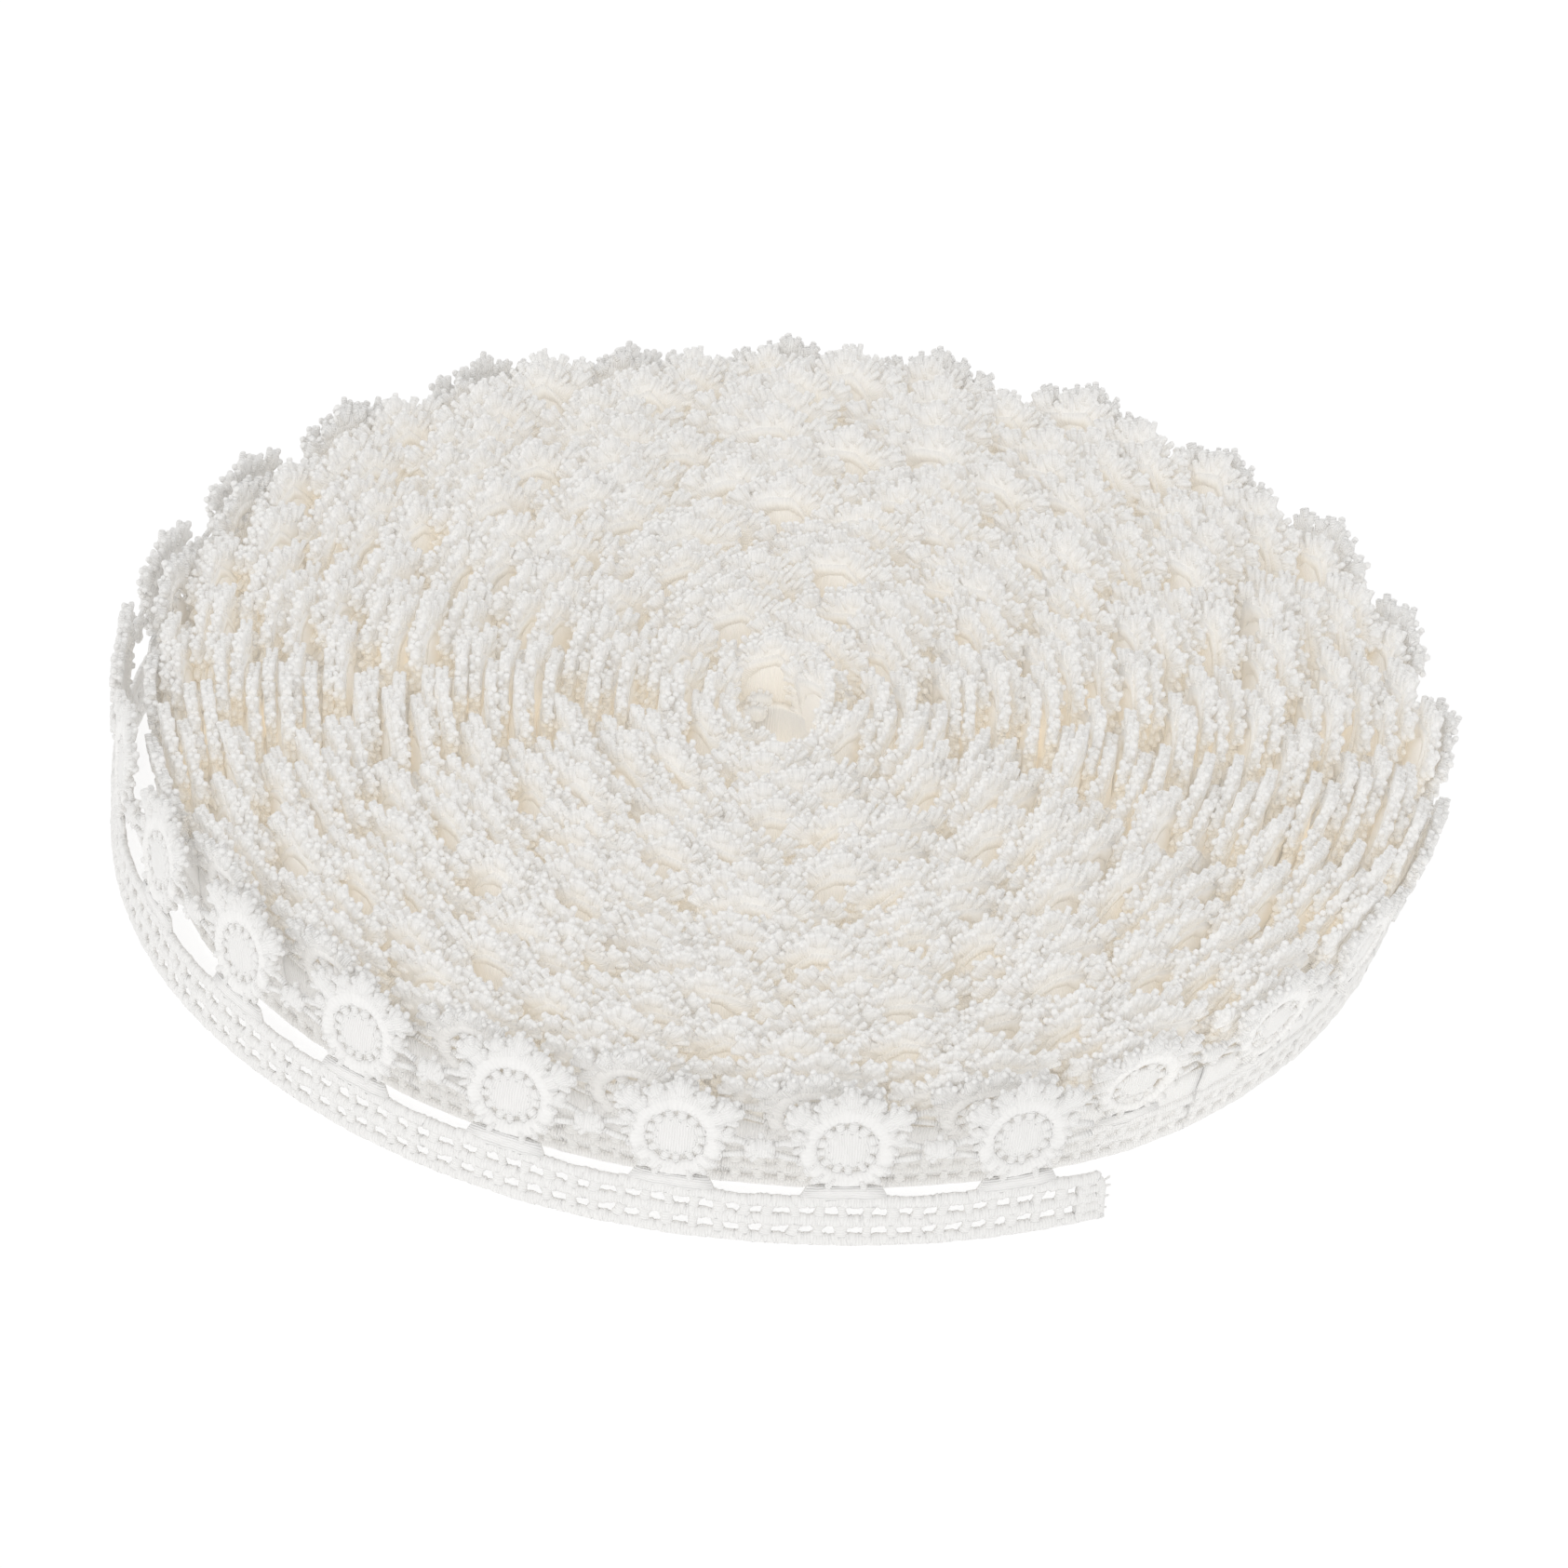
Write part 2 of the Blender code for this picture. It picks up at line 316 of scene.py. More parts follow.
def stitch_medallion(work, edge, detail, centre, rng):
    """The centre button, its spokes and the broad ring of radial stitches."""
    radius = lace().medallion / MM
    turns = np.linspace(0.0, 360.0, detail.ring_rows, endpoint=False)
    if detail.openwork:
        ring = [polar(centre, a, radius * 0.82) for a in turns]
        widths = lumpy(rng, detail.ring_rows, radius * 0.20, 0.13)
        work.tube(ring, widths, lumpy(rng, detail.ring_rows, 0.46, 0.12), detail.ring_sides, True, 0.5 * MM)
        work.ball(centre, 2.35 * MM, 2.35 * MM, 0.46 * MM, 0.0, detail.ball_rows, detail.ball_sides + 2)
        for k in range(detail.spokes):
            angle = 360.0 * (k + rng.uniform(-0.25, 0.25)) / detail.spokes
            line = [polar(centre, angle, reach) for reach in (1.7, 2.4, 3.1)]
            work.tube(line, rng.uniform(0.38, 0.62) * MM, 0.32 * MM, detail.bead_sides)
        body_turns, inner, thick, short = turns, radius * 0.70, 0.38, 0.20
    else:
        work.ball(centre, 3.9 * MM, 3.9 * MM, 0.92 * MM, 0.0, 4, 12)
        body_turns = np.linspace(-22.0, 202.0, detail.ring_rows)
        inner, thick, short = radius * 0.60, 0.56, 0.10
    outline = np.array([crown_reach(a) for a in body_turns])
    outer = outline - short + rng.uniform(-0.10, 0.10, len(body_turns))
    body = [polar(centre, a, (inner + r) / 2.0) for a, r in zip(body_turns, outer)]
    rays = [polar((0.0, 0.0, 0.0), a, -1.0 / MM) for a in body_turns]
    work.tube(body, (outer - inner) / 2.0 * MM, thick * MM, detail.ring_sides, detail.openwork, across=rays)
    if not detail.openwork:
        outer = outline[::2] - 1.55 + rng.uniform(-0.30, 0.30, len(outline[::2]))
        core = [polar(centre, a, (inner + r) / 2.0) for a, r in zip(body_turns[::2], outer)]
        lumps = lumpy(rng, len(core), 0.86, 0.22)
        work.tube(core, (outer - inner) / 2.0 * MM, lumps, detail.ring_sides, across=rays[::2])
    stitch_edge(edge, detail, centre, -14.0, 194.0, rng)
    if detail.openwork:
        stitch_edge(edge, detail, centre, 197.0, 262.0, rng)
        stitch_edge(edge, detail, centre, 278.0, 343.0, rng)


def stitch_bar(work, detail, foot):
    """The bar that ties a medallion to the heading."""
    low = lace().heading
    bar = [(0.0, 0.0, low * 0.92), (0.0, 0.0, (low + foot) / 2.0), (0.0, 0.0, foot * 1.04)]
    work.tube(bar, [4.7 * MM, 4.2 * MM, 3.8 * MM], 0.40 * MM, detail.cord_sides)


def stitch_links(work, edge, detail, centre, rng):
    """The bar down to the heading, the oval ball between medallions and the threads that hold it."""
    sizes = lace()
    half = sizes.repeat / 2.0
    foot = centre[2] - sizes.medallion
    if detail.openwork:
        stitch_bar(work, detail, foot)
    middle = (-half, 0.0, centre[2])
    work.ball(middle, 1.55 * MM, 1.10 * MM, 0.62 * MM, 0.0, detail.ball_rows, detail.ball_sides)
    for angle in (30.0, 58.0, 90.0, 122.0, 150.0, -40.0, -68.0, -90.0, -112.0, -140.0):
        turn = math.radians(angle)
        spot = (middle[0] + math.cos(turn) * 1.45 * MM, 0.0, middle[2] + math.sin(turn) * 1.05 * MM)
        if angle > 0.0 or detail.openwork:
            stitch_picot(edge, detail, spot, angle, rng.choice((-1.0, 1.0)), rng)
    if not detail.openwork:
        return
    for side in (-1.0, 1.0):
        for low, high in ((1.2, 0.5), (-1.2, -0.5)):
            steps = ((4.4, low), (5.7, (low + high) * 0.5), (7.0, high))
            line = [(side * out * MM, 0.0, centre[2] + up * MM) for out, up in steps]
            work.tube(line, 0.32 * MM, 0.30 * MM, detail.bead_sides)


def stitch_repeat(name, detail, seed):
    """One flat repeat of the trim as an object, its heading's foot at zero height, and its picots apart."""
    rng = np.random.default_rng(seed)
    work = Stitching()
    edge = Stitching()
    centre = (0.0, 0.0, medallion_level())
    stitch_heading(work, detail, rng)
    stitch_medallion(work, edge, detail, centre, rng)
    stitch_links(work, edge, detail, centre, rng)
    for ball in CROWN_BALLS if detail.openwork else CROWN_BALLS[:3]:
        work.ball(polar(centre, ball.angle, ball.reach), ball.along * MM, ball.across * MM, 0.60 * MM,
                  ball.angle + 90.0, detail.ball_rows, detail.ball_sides)
    return lay_flat(name, work), lay_flat(name + "_picots", edge)


def stitch_cut_end():
    """The last stretch of heading after the last medallion: closed up, cut a little askew, and frayed."""
    rng = np.random.default_rng(17)
    sizes = lace()
    work = Stitching()
    tall = sizes.heading / MM
    end = CUT_SHARE * sizes.repeat / MM
    for level in (0.115, 0.31, 0.5, 0.69, 0.885):
        stop = end - 0.35 + 0.5 * (0.5 - level)
        line = [(x * MM, 0.0, tall * level * MM) for x in np.linspace(end - 2.9, stop, 9)]
        work.tube(line, lumpy(rng, 9, 0.62, 0.18), lumpy(rng, 9, 0.40, 0.12), 8)
    close = [(end - 0.10, 0.5), (end - 0.15, 1.6), (end - 0.25, 2.8), (end - 0.30, 4.0), (end - 0.60, 4.9),
             (end - 1.30, 5.25)]
    work.tube([(x * MM, 0.0, z * MM) for x, z in close], lumpy(rng, 6, 0.46, 0.15), 0.40 * MM, 8)
    for z, lean in ((0.3, -78.0), (0.5, -52.0), (1.3, -20.0), (2.6, 12.0), (3.9, 4.0), (4.8, 34.0)):
        spot = ((end + 0.15) * MM, 0.0, z * MM)
        work.petal(spot, rng.uniform(0.45, 0.65) * MM, 0.13 * MM, lean, LOOP, 6)
    return lay_flat("cut_end", work)


def lay_flat(name, work):
    """Stitched shapes as a working object."""
    piece = bpy.data.objects.new(name, work.mesh(name))
    bpy.context.collection.objects.link(piece)
    return piece


def together(piece, other):
    """Joins a second working object's stitching to the first."""
    with bpy.context.temp_override(active_object=piece, selected_editable_objects=[piece, other]):
        bpy.ops.object.join()
    return piece


# ---- the winding
def node_points(node):
    """A frame node's own points."""
    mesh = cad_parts[node].data
    points = np.zeros(len(mesh.vertices) * 3, np.float32)
    mesh.vertices.foreach_get("co", points)
    return points.reshape(-1, 3).astype(float)


def around(points):
    """Angles in degrees and radii of points round the roll's axis."""
    angles = np.round(np.degrees(np.arctan2(points[:, 1], points[:, 0])) % 360.0, 1)
    return angles, np.hypot(points[:, 0], points[:, 1])


def rim(points, pick):
    """Angles and radii round an edge of a node, one for each of its columns."""
    angles, radii = around(points)
    found = sorted(set(angles.tolist()))
    return np.array(found), np.array([pick(radii[angles == a]) for a in found])


def winding():
    """The whole trim's line from the eye to the cut end: angle, crown radius, foot radius, crown height."""
    sizes = lace()
    loose = node_points(LOOSE)
    roll = node_points(ROLL)
    foot_angles, foot_radii = rim(loose[loose[:, 2] < 0.01 * MM], np.mean)
    leave = foot_angles[0]
    cut = foot_angles[-1]
    bearing, reach = around(loose)
    tops = []
    for angle in foot_angles:
        near = np.abs(bearing - angle) < 0.15
        high = loose[near, 2].max() - 0.2 * MM
        tops.append(reach[near & (loose[:, 2] > high)].mean())
    _, reach = around(roll)
    on_floor = roll[:, 2] < 0.01 * MM
    wall_angles, wall_radii = rim(roll[on_floor & (reach > 0.9 * reach[on_floor].max())], np.max)
    widest = reach.max() - sizes.depth / 2.0
    share = ((wall_angles - leave + 1.5) % 360.0) / 360.0
    share[share < 0.01] = 1.0
    base = wall_radii + sizes.layer * (1.0 - share)
    turns = (widest - sizes.eye) / sizes.layer
    first = math.radians(leave) - 2.0 * math.pi * turns
    angles = np.arange(first, math.radians(leave), math.radians(4.0))
    crown = sizes.eye + sizes.layer * (angles - first) / (2.0 * math.pi)
    outer = np.interp(np.degrees(angles) % 360.0, wall_angles, base, period=360.0) - sizes.depth / 2.0
    lean = (widest - outer) * (crown / widest) ** 2.2
    wave = np.sin(3.0 * angles + 0.6) * 0.22 + np.sin(5.0 * angles + 2.1) * 0.16
    crown = crown + wave * MM * (crown / widest)
    foot = crown - lean
    height = sizes.width - 0.3 * MM * (crown / widest) ** 2
    height = height + sizes.back_rise * np.maximum(0.0, np.sin(angles)) * (crown / widest) ** 2
    height = height + 0.35 * MM * np.sin(angles * 1.37 + 1.0) * np.sin(angles * 0.233)
    free = np.radians(foot_angles[foot_angles > leave + 8.0])
    free_foot = foot_radii[foot_angles > leave + 8.0]
    free_crown = np.array(tops)[foot_angles > leave + 8.0]
    angles = np.concatenate([angles, free])
    crown = np.concatenate([crown, free_crown])
    foot = np.concatenate([foot, free_foot])
    height = np.concatenate([height, np.full(len(free), sizes.width)])
    return angles, crown, foot, height, math.radians(leave), math.radians(cut)


def build_guide():
    """The line that the lace follows, at the medallions' height, with the rise from foot to crown on it."""
    sizes = lace()
    angles, crown, foot, height, leave, cut = winding()
    level = sizes.guide_level
    past = angles[-1] + np.radians([2.0, 4.0, 6.0])
    angles = np.concatenate([angles, past])
    crown, foot, height = (np.concatenate([row, np.full(3, row[-1])]) for row in (crown, foot, height))
    out = np.stack([np.cos(angles), np.sin(angles), np.zeros(len(angles))], axis=1)
    feet = out * foot[:, None]
    tops = out * crown[:, None]
    tops[:, 2] = height
    shift = np.zeros((len(angles), 3))
    shift[:, 0] = -sizes.eye_shift * np.clip(1.0 - crown / crown.max(), 0.0, 1.0)
    line = feet + (tops - feet) * level + shift
    mesh = bpy.data.meshes.new("winding_line")
    mesh.from_pydata(line.tolist(), [(k, k + 1) for k in range(len(line) - 1)], [])
    rise = mesh.attributes.new("rise", "FLOAT_VECTOR", "POINT")
    rise.data.foreach_set("vector", (tops - feet).astype(np.float32).ravel())
    guide = bpy.data.objects.new("winding_line", mesh)
    bpy.context.collection.objects.link(guide)
    steps = np.linalg.norm(np.diff(line, axis=0), axis=1)
    run = np.concatenate([[0.0], np.cumsum(steps)])
    return guide, *(float(np.interp(angle, angles, run)) for angle in (cut, leave))


# ---- node helpers
class Bench:
    """Adds nodes to a tree and joins them up."""

    def __init__(self, tree):
        self.tree = tree

    def node(self, kind, values=None, **settings):
        """A node with its settings, and its inputs by name set or linked."""
        made = self.tree.nodes.new(kind)
        for key, value in settings.items():
            setattr(made, key, value)
        self.fill(made, values or {})
        return made

    def fill(self, node, values):
        """A value on each input that is named or numbered, or a link into it."""
        for key, value in values.items():
            socket = node.inputs[key] if isinstance(key, int) else next(
                s for s in node.inputs if s.enabled and s.name == key)
            if isinstance(value, bpy.types.NodeSocket):
                self.tree.links.new(value, socket)
            else:
                socket.default_value = value

    def out(self, node, name):
        """The enabled output of that name."""
        return next(s for s in node.outputs if s.enabled and s.name == name)

    def maths(self, operation, first, second=0.0):
        """One sum on two numbers."""
        return self.node("ShaderNodeMath", {0: first, 1: second}, operation=operation).outputs[0]

    def times(self, first, second):
        """Two numbers multiplied."""
        return self.maths("MULTIPLY", first, second)

    def vector(self, operation, first, second=(0.0, 0.0, 0.0)):
        """One sum on two vectors."""
        return self.node("ShaderNodeVectorMath", {0: first, 1: second}, operation=operation).outputs[0]

    def scaled(self, vector, size):
        """A vector times a number."""
        return self.node("ShaderNodeVectorMath", {0: vector, "Scale": size}, operation="SCALE").outputs[0]

    def split(self, vector):
        """A vector's three numbers."""
        return self.node("ShaderNodeSeparateXYZ", {0: vector}).outputs

    def noise(self, place, scale, detail, output="Fac"):
        """Soft noise at a place."""
        values = {"Vector": place, "Scale": scale, "Detail": detail}
        return self.out(self.node("ShaderNodeTexNoise", values), output)

    def stored(self, name, data_type):
        """An attribute that an earlier step stored."""
        return self.out(self.node("GeometryNodeInputNamedAttribute", {"Name": name}, data_type=data_type),
                        "Attribute")

    def mixed(self, factor, first, second):
        """One colour going over into another."""
        values = {"Factor": factor, "A": first, "B": second}
        return self.out(self.node("ShaderNodeMix", values, data_type="RGBA"), "Result")


def open_tree(name, kind, sockets):
    """A new tree with named inputs and outputs: rows of in or out, name, socket type, default."""
    tree = bpy.data.node_groups.new(name, kind)
    for way, label, socket_type, default in sockets:
        socket = tree.interface.new_socket(name=label, in_out=way, socket_type=socket_type)
        if default is not None:
            socket.default_value = default
    return tree, Bench(tree)


def coil_tree():
    """Sets flat repeats out in a row, makes each a little uneven, and bends the row onto the winding."""
    if "coil_of_lace" in bpy.data.node_groups:
        return bpy.data.node_groups["coil_of_lace"]
    numbers = {"Start": 0.0, "Repeat Length": 16 * MM, "Trim Width": 18 * MM, "Line Level": 0.6,
               "Uneven Rise": 0.5 * MM, "Uneven Lean": 0.4 * MM, "Uneven Slide": 0.6 * MM,
               "Fuzz": 0.1 * MM, "Sway": 0.4 * MM, "Shade Depth": 0.0}
    tree, bench = open_tree("coil_of_lace", "GeometryNodeTree", [
        ("INPUT", "Geometry", "NodeSocketGeometry", None),
        ("INPUT", "Winding Line", "NodeSocketObject", None),
        ("INPUT", "Repeats", "NodeSocketInt", 10),
        *(("INPUT", label, "NodeSocketFloat", default) for label, default in numbers.items()),
        ("INPUT", "Seed", "NodeSocketInt", 1),
        ("INPUT", "Finish", "NodeSocketMaterial", None),
        ("OUTPUT", "Geometry", "NodeSocketGeometry", None),
    ])
    given = tree.nodes.new("NodeGroupInput").outputs
    start = bench.node("ShaderNodeCombineXYZ", {"X": given["Start"]}).outputs[0]
    step = bench.node("ShaderNodeCombineXYZ", {"X": given["Repeat Length"]}).outputs[0]
    row = bench.node("GeometryNodeMeshLine",
                     {"Count": given["Repeats"], "Start Location": start, "Offset": step}, mode="OFFSET")
    chance = bench.node("FunctionNodeRandomValue",
                        {"Min": (-1.0,) * 3, "Max": (1.0,) * 3, "Seed": given["Seed"]},
                        data_type="FLOAT_VECTOR")
    marked = bench.node("GeometryNodeStoreNamedAttribute",
                        {"Geometry": row.outputs[0], "Name": "uneven", "Value": bench.out(chance, "Value")},
                        data_type="FLOAT_VECTOR", domain="POINT")
    laid = bench.node("GeometryNodeInstanceOnPoints",
                      {"Points": marked.outputs[0], "Instance": given["Geometry"]})
    real = bench.node("GeometryNodeRealizeInstances", {"Geometry": laid.outputs[0]})

    place = bench.node("GeometryNodeInputPosition").outputs[0]
    split = bench.split(place)
    chances = bench.split(bench.stored("uneven", "FLOAT_VECTOR"))
    share = bench.maths("DIVIDE", split["Z"], given["Trim Width"])
    slide = bench.times(bench.times(chances["X"], given["Uneven Slide"]), share)
    along = bench.maths("ADD", split["X"], slide)
    bend = bench.times(bench.times(chances["Y"], given["Uneven Lean"]),
                       bench.times(share, share))
    sway = bench.noise(place, 75.0, 1.0)
    swing = bench.times(bench.maths("SUBTRACT", sway, 0.5), given["Sway"])
    bend = bench.maths("ADD", bend, bench.times(bench.times(swing, 4.0), share))
    depth = bench.maths("ADD", split["Y"], bend)
    lift = bench.times(chances["Z"], given["Uneven Rise"])
    lift = bench.maths("DIVIDE", lift, given["Trim Width"])
    level = bench.times(share, bench.maths("ADD", 1.0, lift))

    line = bench.node("GeometryNodeObjectInfo", {"Object": given["Winding Line"]},
                      transform_space="ORIGINAL")
    curve = bench.node("GeometryNodeMeshToCurve", {"Mesh": bench.out(line, "Geometry")})
    rise = bench.stored("rise", "FLOAT_VECTOR")
    spot = bench.node("GeometryNodeSampleCurve",
                      {"Curves": curve.outputs[0], "Value": rise, "Length": along},
                      data_type="FLOAT_VECTOR", mode="LENGTH")
    up = bench.out(spot, "Value")
    out = bench.vector("NORMALIZE", bench.vector("CROSS_PRODUCT", bench.out(spot, "Tangent"), up))
    climb = bench.scaled(up, bench.maths("SUBTRACT", level, given["Line Level"]))
    coarse = bench.scaled(bench.noise(place, 420.0, 0.0, "Color"), 2.2)
    fine = bench.scaled(bench.noise(place, 1700.0, 1.0, "Color"), 0.6)
    rough = bench.vector("SUBTRACT", bench.vector("ADD", coarse, fine), (1.4, 1.4, 1.4))
    rough = bench.scaled(rough, given["Fuzz"])
    bent = bench.vector("ADD", bench.out(spot, "Position"), climb)
    bent = bench.vector("ADD", bent, bench.scaled(out, depth))
    bent = bench.vector("ADD", bent, rough)
    low = bench.split(bent)
    above = bench.maths("MAXIMUM", low["Z"], FLOOR_GAP)
    floor = bench.node("ShaderNodeCombineXYZ", {"X": low["X"], "Y": low["Y"], "Z": above}).outputs[0]
    # the depth for painted shade and painted glow, scaled by how much of it this stretch gets
    sink = bench.times(bench.stored("sink", "FLOAT"), given["Shade Depth"])
    toned = bench.node("GeometryNodeStoreNamedAttribute",
                       {"Geometry": real.outputs[0], "Name": "sink", "Value": sink},
                       data_type="FLOAT", domain="POINT")
    moved = bench.node("GeometryNodeSetPosition", {"Geometry": toned.outputs[0], "Position": floor})
    painted = bench.node("GeometryNodeSetMaterial",
                         {"Geometry": moved.outputs[0], "Material": given["Finish"]})
    bench.node("NodeGroupOutput", {"Geometry": painted.outputs[0]})
    return tree


def grow(name, repeat, tree, values):
    """Runs a tree on an object and keeps its result as a plain mesh object at the origin."""
    modifier = repeat.modifiers.new("coil", "NODES")
    modifier.node_group = tree
    for item in tree.interface.items_tree:
        if item.item_type == "SOCKET" and item.in_out == "INPUT" and item.name in values:
            modifier[item.identifier] = values[item.name]
    bpy.context.view_layer.update()
    graph = bpy.context.evaluated_depsgraph_get()
    mesh = bpy.data.meshes.new_from_object(repeat.evaluated_get(graph), depsgraph=graph)
    mesh.name = name
    mesh.attributes.remove(mesh.attributes["uneven"])
    repeat.modifiers.remove(modifier)
    mesh.materials.clear()
    mesh.materials.append(values["Finish"])
    mesh.polygons.foreach_set("material_index", np.zeros(len(mesh.polygons), np.int32))
    piece = bpy.data.objects.new(name, mesh)
    bpy.context.collection.objects.link(piece)
    return piece


def drop(piece):
    """Removes a working object and its mesh."""
    mesh = piece.data
    bpy.data.objects.remove(piece, do_unlink=True)
    bpy.data.meshes.remove(mesh)


# ---- finishes
def stitch_group():
    """Satin threads laid side by side: their height, and a mask that picks out single threads."""
    if "satin_stitch" in bpy.data.node_groups:
        return bpy.data.node_groups["satin_stitch"]
    tree, bench = open_tree("satin_stitch", "ShaderNodeTree", [
        ("INPUT", "Stitch", "NodeSocketVector", None),
        ("INPUT", "Place", "NodeSocketVector", None),
        ("INPUT", "Fray", "NodeSocketFloat", 0.5),
        ("OUTPUT", "Height", "NodeSocketFloat", None),
        ("OUTPUT", "Tone", "NodeSocketFloat", None),
    ])
    given = tree.nodes.new("NodeGroupInput").outputs
    wander = bench.noise(given["Place"], 900.0, 2.0)
    shift = bench.times(bench.maths("SUBTRACT", wander, 0.5), given["Fray"])
    count = bench.maths("ADD", bench.split(given["Stitch"])["X"], bench.times(shift, 2.0))
    wave = bench.maths("SINE", bench.times(count, 2.0 * math.pi))
    ridge = bench.maths("ADD", bench.times(wave, 0.5), 0.5)
    fibre = bench.noise(given["Place"], 3800.0, 1.0)
    height = bench.maths("ADD", bench.maths("POWER", ridge, 0.6), bench.times(fibre, 0.5))
    each = bench.node("ShaderNodeTexWhiteNoise", {"W": bench.maths("FLOOR", count)}, noise_dimensions="1D")
    tone = bench.maths("ADD", bench.times(bench.out(each, "Value"), 0.5),
                       bench.times(ridge, 0.5))
    bench.node("NodeGroupOutput", {"Height": height, "Tone": tone})
    return tree


def painted_shade_group():
    """The colour of thread with painted light: white where it shows, and deep between the turns a warm
    painted shade and a painted glow that stand in for light reaching it through other turns.
    """
    if "painted_shade_and_glow" in bpy.data.node_groups:
        return bpy.data.node_groups["painted_shade_and_glow"]
    tree, bench = open_tree("painted_shade_and_glow", "ShaderNodeTree", [
        ("INPUT", "White", "NodeSocketColor", (0.9, 0.9, 0.9, 1.0)),
        ("INPUT", "Painted Shade", "NodeSocketColor", (0.9, 0.8, 0.6, 1.0)),
        ("INPUT", "Shade", "NodeSocketColor", (0.8, 0.8, 0.8, 1.0)),
        ("INPUT", "Glow", "NodeSocketColor", (1.0, 0.93, 0.80, 1.0)),
        ("INPUT", "Shade Depth", "NodeSocketFloat", 0.0),
        ("INPUT", "Tone", "NodeSocketFloat", 0.5),
        ("INPUT", "Place", "NodeSocketVector", None),
        ("OUTPUT", "Color", "NodeSocketColor", None),
        ("OUTPUT", "Glow", "NodeSocketColor", None),
    ])
    given = tree.nodes.new("NodeGroupInput").outputs
    # painted shade: the depth, made patchy by noise, takes the thread's colour over into a warm painted
    # shade colour where it lies deep between the turns
    cloud = bench.noise(given["Place"], 130.0, 2.0)
    patch = bench.maths("ADD", 0.55, bench.times(cloud, 0.9))
    buried = bench.times(given["Shade Depth"], patch)
    deep = bench.maths("POWER", buried, 2.6)
    worn = bench.mixed(bench.times(given["Tone"], 0.35), given["White"], given["Shade"])
    # painted glow: an emission, stronger the deeper the thread lies, stands in for light coming through
    # other turns
    warm = bench.mixed(deep, given["White"], given["Glow"])
    colour = bench.mixed(deep, worn, given["Painted Shade"])
    through = bench.mixed(buried, (0.0, 0.0, 0.0, 1.0), warm)
    bench.node("NodeGroupOutput", {"Color": colour, "Glow": through})
    return tree


def thread_finish(name, roughness, painted_dimming, relief):
    """Bleached embroidery thread with a soft satin sheen; the dimming share is painted shade that takes
    some of its whiteness away on the better-lit turns, and relief is how strongly its threads stand out."""
    if name in bpy.data.materials:
        return bpy.data.materials[name]
    sizes = lace()
    material = bpy.data.materials.new(name)
    material.use_nodes = True
    tree = material.node_tree
    bench = Bench(tree)
    place = bench.node("ShaderNodeTexCoord").outputs["Object"]
    stitch = bench.node("ShaderNodeUVMap", uv_map="stitch").outputs[0]
    sink = bench.node("ShaderNodeAttribute", attribute_name="sink", attribute_type="GEOMETRY")
    threads = bench.node("ShaderNodeGroup", {"Stitch": stitch, "Place": place}, node_tree=stitch_group())
    # painted shade: the dimming share darkens every colour on the better-lit turns, so that they come out
    # no brighter than the wound turns
    colours = {"White": sizes.white, "Painted Shade": sizes.painted_shade, "Shade": sizes.shade}
    tones = bench.node("ShaderNodeGroup", {
        **{name: (*(Vector(colour) * (1.0 - painted_dimming)), 1.0) for name, colour in colours.items()},
        "Glow": (*sizes.amber, 1.0),
        "Shade Depth": bench.out(sink, "Fac"),
        "Tone": threads.outputs["Tone"],
        "Place": place,
    }, node_tree=painted_shade_group())
    bump = bench.node("ShaderNodeBump",
                      {"Strength": relief, "Distance": 0.08 * MM, "Height": threads.outputs["Height"]})
    # painted glow: the emission lets deep thread glow faintly in place of light coming through other turns
    bench.fill(tree.nodes["Principled BSDF"], {
        "Base Color": tones.outputs["Color"],
        "Roughness": roughness,
        "Normal": bump.outputs[0],
        "Specular IOR Level": 0.35,
        "Sheen Weight": 0.15,
        "Emission Color": tones.outputs["Glow"],
        "Emission Strength": sizes.glow,
    })
    return material


